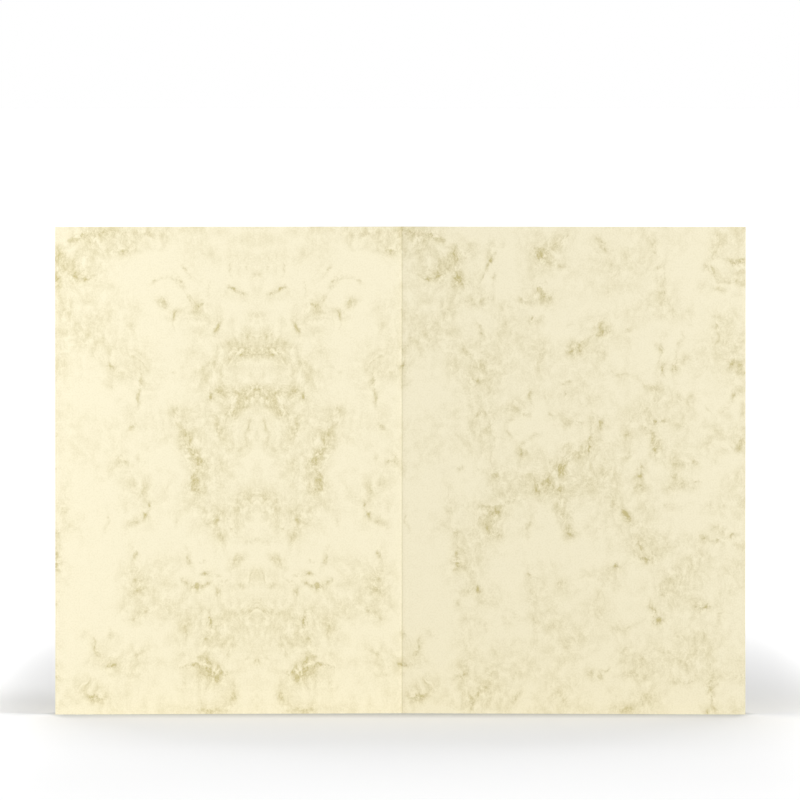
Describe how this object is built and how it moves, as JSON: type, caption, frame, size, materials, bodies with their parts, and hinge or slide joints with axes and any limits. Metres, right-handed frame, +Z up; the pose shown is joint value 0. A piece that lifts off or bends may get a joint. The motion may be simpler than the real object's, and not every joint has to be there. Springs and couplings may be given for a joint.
{
  "type": "folded card",
  "caption": "Sheet of marbled cream card, creased across the middle and standing open on its long edge as a wide shallow V.",
  "frame": {"origin": "middle of the card's foot, on the surface that it stands on", "axes": "+X along the long edge to the reader's right, +Y away from the reader towards the fold, +Z up along the fold"},
  "size_m": [0.2094, 0.0078, 0.148],
  "materials": {
    "card_stock": "uncoated cream card with a faint olive-grey marbling and a fine felt grain"
  },
  "bodies": {
    "root": {"card": "card_stock"}
  },
  "joints": []
}
